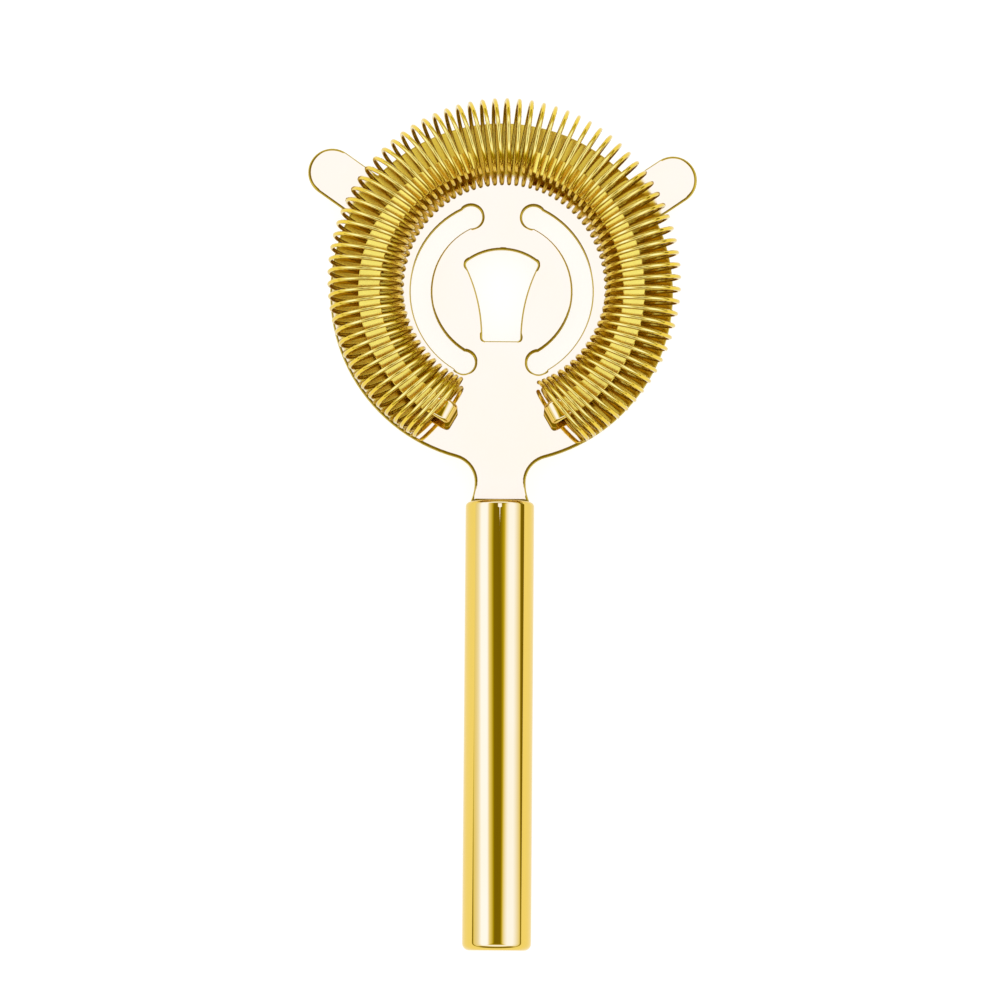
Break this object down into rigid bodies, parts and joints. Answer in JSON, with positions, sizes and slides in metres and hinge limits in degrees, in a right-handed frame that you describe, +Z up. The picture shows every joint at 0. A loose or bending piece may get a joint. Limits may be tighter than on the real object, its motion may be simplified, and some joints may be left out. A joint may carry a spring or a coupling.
{
  "type": "hawthorne strainer",
  "caption": "Bar strainer: flat round plate with ears and drain slots, a coil spring bent round its edge on guide arms, and a round tube handle, mirror-polished gold plating.",
  "frame": {"origin": "middle of the bounding box in X and Y, on the plane that the handle's underside touches", "axes": "+Z up, the side that carries the spring; +Y from the handle to the head; +X to the right ear"},
  "size_m": [0.0938, 0.2038, 0.0276],
  "materials": {
    "plate_gold": "mirror-polished gold plating on stainless steel sheet",
    "spring_gold": "bright gold plating on spring steel wire",
    "handle_gold": "mirror-polished gold plating on stainless steel tube"
  },
  "bodies": {
    "frame": {"strainer_plate": "plate_gold", "left_guide_arm": "spring_gold", "right_guide_arm": "spring_gold", "handle_tube": "handle_gold", "handle_top_cap": "handle_gold", "handle_end_cap": "handle_gold"},
    "spring": {"coil_spring": "spring_gold"}
  },
  "joints": [
    {"name": "spring_squeeze", "type": "slide", "parent": "frame", "child": "spring", "axis": [0, -1, 0], "range_m": [0, 0.002], "stiffness_N_per_m": 800}
  ]
}
